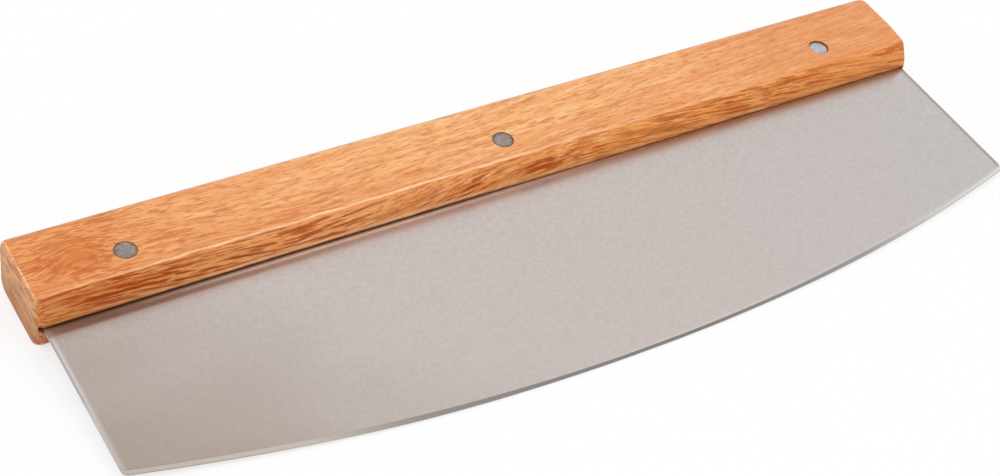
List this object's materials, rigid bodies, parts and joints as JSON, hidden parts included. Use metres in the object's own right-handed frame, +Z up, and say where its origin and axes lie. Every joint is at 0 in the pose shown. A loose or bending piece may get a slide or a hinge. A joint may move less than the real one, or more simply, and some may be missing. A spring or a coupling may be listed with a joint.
{
  "type": "mezzaluna",
  "caption": "Rocker knife: a thin steel blade with an arc-shaped cutting edge, riveted along a straight wooden bar handle, for chopping and slicing with a rocking stroke.",
  "frame": {"origin": "middle of the footprint, on the surface that the knife lies on", "axes": "+X along the handle, +Y from the cutting edge towards the spine of the handle, +Z up"},
  "size_m": [0.356, 0.1166, 0.025],
  "materials": {
    "handle_wood": "oiled hardwood, satin",
    "blade_steel": "satin rolled steel",
    "rivet_metal": "dull, tumbled"
  },
  "bodies": {
    "root": {"handle": "handle_wood", "blade": "blade_steel", "left_rivet_pin": "rivet_metal", "left_rivet_sleeve": "rivet_metal", "middle_rivet_pin": "rivet_metal", "middle_rivet_sleeve": "rivet_metal", "right_rivet_pin": "rivet_metal", "right_rivet_sleeve": "rivet_metal"}
  },
  "joints": []
}
